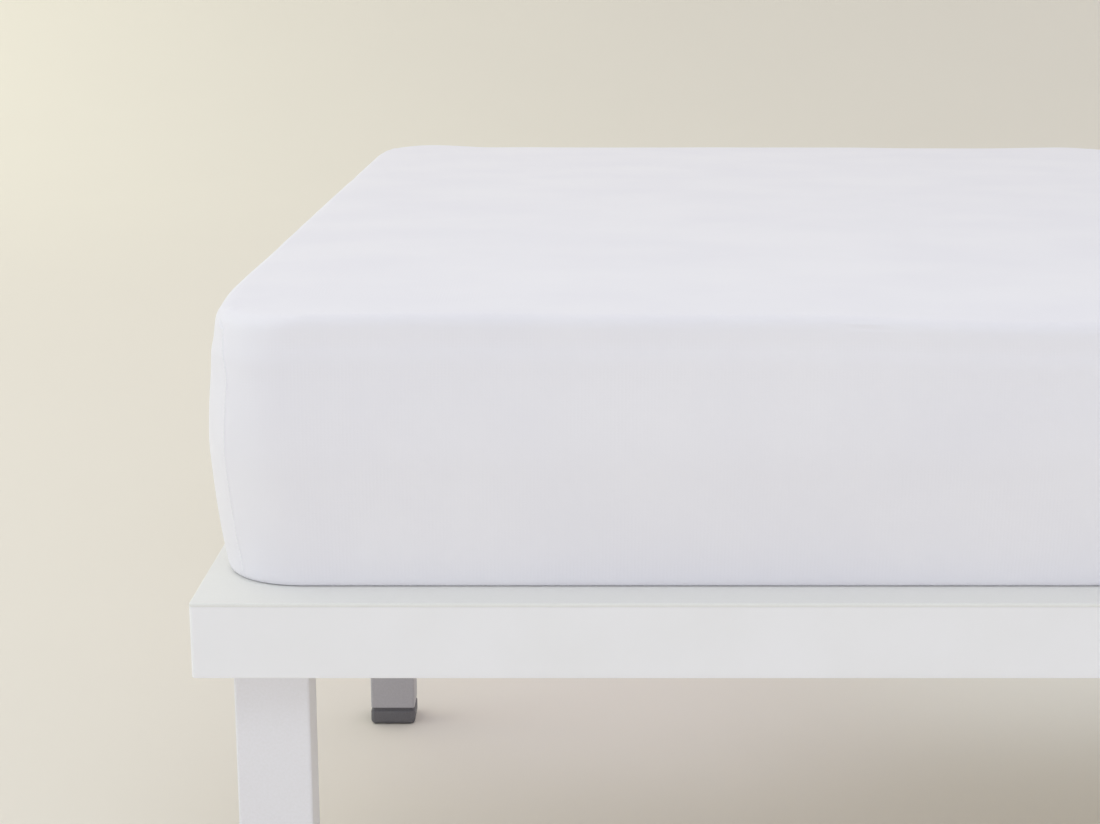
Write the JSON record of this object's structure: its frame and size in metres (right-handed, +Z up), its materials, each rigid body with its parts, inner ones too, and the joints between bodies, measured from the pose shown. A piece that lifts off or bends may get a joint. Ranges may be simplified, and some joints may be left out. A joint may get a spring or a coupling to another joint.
{
  "type": "mattress protector on a mattress and bed base",
  "caption": "Fitted white waterproof cloth cover pulled over a thick mattress, with sewn corner darts and a turned-under hem, on a low rail base with square legs.",
  "frame": {"origin": "on the floor under the middle of the bed", "axes": "+Z up, +Y from the foot end to the head end, +X to the right seen from the foot end"},
  "size_m": [1.362, 1.971, 0.6217],
  "materials": {
    "protector_cloth": "fine white knitted jersey with a waterproof backing, matt, stretched smooth",
    "mattress_ticking": "off-white woven mattress ticking",
    "base_lacquer": "white satin lacquer over fibreboard",
    "bare_wood": "plain planed pine",
    "white_leg": "white powder-coated square tube",
    "grey_leg": "grey powder-coated square tube",
    "foot_cap": "dark grey moulded plastic"
  },
  "bodies": {
    "root": {"protector": "protector_cloth", "mattress": "mattress_ticking", "deck_sheet": "base_lacquer", "rail_foot": "base_lacquer", "rail_head": "base_lacquer", "rail_left": "base_lacquer", "rail_right": "base_lacquer", "cross_bar_1": "bare_wood", "cross_bar_2": "bare_wood", "slat_1": "bare_wood", "slat_2": "bare_wood", "slat_3": "bare_wood", "slat_4": "bare_wood", "slat_5": "bare_wood", "slat_6": "bare_wood", "leg_left_1": "white_leg", "leg_right_1": "white_leg", "leg_left_2": "grey_leg", "leg_right_2": "grey_leg", "leg_left_3": "grey_leg", "leg_right_3": "grey_leg", "leg_left_4": "white_leg", "leg_right_4": "white_leg", "foot_cap_left_1": "foot_cap", "foot_cap_right_1": "foot_cap", "foot_cap_left_2": "foot_cap", "foot_cap_right_2": "foot_cap", "foot_cap_left_3": "foot_cap", "foot_cap_right_3": "foot_cap", "foot_cap_left_4": "foot_cap", "foot_cap_right_4": "foot_cap"}
  },
  "joints": []
}
